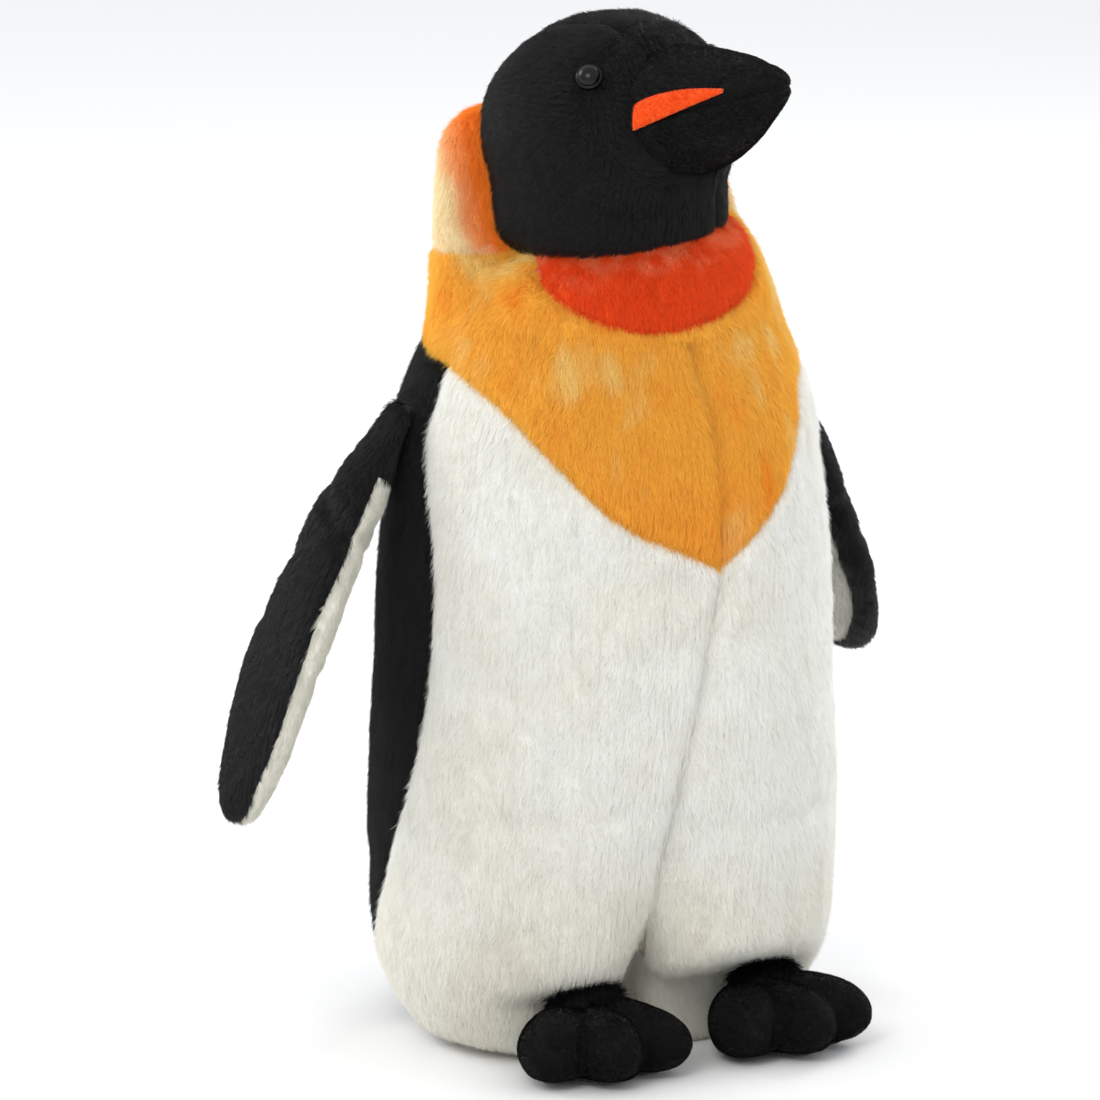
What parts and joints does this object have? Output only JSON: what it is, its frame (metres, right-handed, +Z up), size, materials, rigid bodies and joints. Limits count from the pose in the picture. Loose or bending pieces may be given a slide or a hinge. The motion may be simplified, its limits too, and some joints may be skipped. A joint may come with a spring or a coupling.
{
  "type": "plush penguin",
  "caption": "Upright stuffed penguin in black and white pile fabric with a golden bib, orange throat, soft beak, hinged flippers and padded feet.",
  "frame": {"origin": "centre of the body's oval section at the level of the flat base", "axes": "+Z up through the body, the breast faces -Y, the penguin's left side is +X"},
  "size_m": [0.3171, 0.1997, 0.3935],
  "materials": {
    "belly_pile": "creamy white plush pile",
    "black_pile": "black plush pile with a grey sheen",
    "gold_pile": "golden orange plush pile, airbrushed lighter and darker",
    "throat_pile": "red-orange plush pile with peach tips at the top edge",
    "neck_pile": "orange plush pile fading to cream",
    "beak_velour": "black short-pile velour",
    "foot_velour": "black short-pile velour",
    "stripe_velour": "bright orange short-pile velour",
    "eye_gloss": "polished black",
    "washer_plastic": "moulded natural plastic",
    "base_cloth": "plain woven cloth",
    "fibrefill": "loose polyester fibre",
    "pellet_cloth": "plain woven bag of plastic pellets"
  },
  "bodies": {
    "root": {"belly_panel_left": "belly_pile", "belly_panel_right": "belly_pile", "back_panel_left": "black_pile", "back_panel_right": "black_pile", "bib_panel_left": "gold_pile", "bib_panel_right": "gold_pile", "throat_patch": "throat_pile", "neck_patch_left": "neck_pile", "neck_patch_right": "neck_pile", "nape_panel": "black_pile", "torso_stuffing": "fibrefill", "pellet_bag": "pellet_cloth", "base_panel": "base_cloth", "tail_cover": "black_pile", "tail_stuffing": "fibrefill"},
    "neck": {"neck_stuffing": "fibrefill"},
    "head": {"head_side_left": "black_pile", "head_side_right": "black_pile", "head_gusset": "black_pile", "chin_panel": "black_pile", "head_stuffing": "fibrefill", "beak_upper": "beak_velour", "beak_lower": "beak_velour", "beak_stuffing": "fibrefill", "beak_stripe_left": "stripe_velour", "beak_stripe_right": "stripe_velour", "eye_left": "eye_gloss", "eye_right": "eye_gloss", "eye_washer_left": "washer_plastic", "eye_washer_right": "washer_plastic"},
    "flipper_left": {"flipper_outer_left": "black_pile", "flipper_lining_left": "belly_pile", "flipper_stuffing_left": "fibrefill"},
    "foot_left": {"foot_upper_left": "foot_velour", "foot_sole_left": "foot_velour", "foot_stuffing_left": "fibrefill", "ankle_cuff_left": "black_pile"},
    "flipper_right": {"flipper_outer_right": "black_pile", "flipper_lining_right": "belly_pile", "flipper_stuffing_right": "fibrefill"},
    "foot_right": {"foot_upper_right": "foot_velour", "foot_sole_right": "foot_velour", "foot_stuffing_right": "fibrefill", "ankle_cuff_right": "black_pile"}
  },
  "joints": [
    {"name": "head_turn", "type": "hinge", "parent": "root", "child": "neck", "pos_m": [0, -0.005, 0.345], "axis": [0, 0, 1], "range_deg": [-45, 35], "stiffness_Nm_per_rad": 0.25},
    {"name": "head_nod", "type": "hinge", "parent": "neck", "child": "head", "pos_m": [0, -0.005, 0.345], "axis": [0.9563, 0.2924, 0], "range_deg": [-20, 8], "stiffness_Nm_per_rad": 0.6},
    {"name": "flipper_left_flap", "type": "hinge", "parent": "root", "child": "flipper_left", "pos_m": [0.081, 0.016, 0.2475], "axis": [0.1869, -0.8927, -0.4101], "range_deg": [-6, 50], "stiffness_Nm_per_rad": 0.25},
    {"name": "flipper_right_flap", "type": "hinge", "parent": "root", "child": "flipper_right", "pos_m": [-0.082, 0.008, 0.245], "axis": [0.1869, 0.9781, -0.0911], "range_deg": [-6, 55], "stiffness_Nm_per_rad": 0.25},
    {"name": "foot_left_lift", "type": "hinge", "parent": "root", "child": "foot_left", "pos_m": [0.037, -0.051, 0.027], "axis": [-0.9945, -0.1045, 0], "range_deg": [0, 25], "stiffness_Nm_per_rad": 0.3},
    {"name": "foot_right_lift", "type": "hinge", "parent": "root", "child": "foot_right", "pos_m": [-0.037, -0.051, 0.027], "axis": [-0.9945, 0.1045, 0], "range_deg": [0, 25], "stiffness_Nm_per_rad": 0.3}
  ]
}
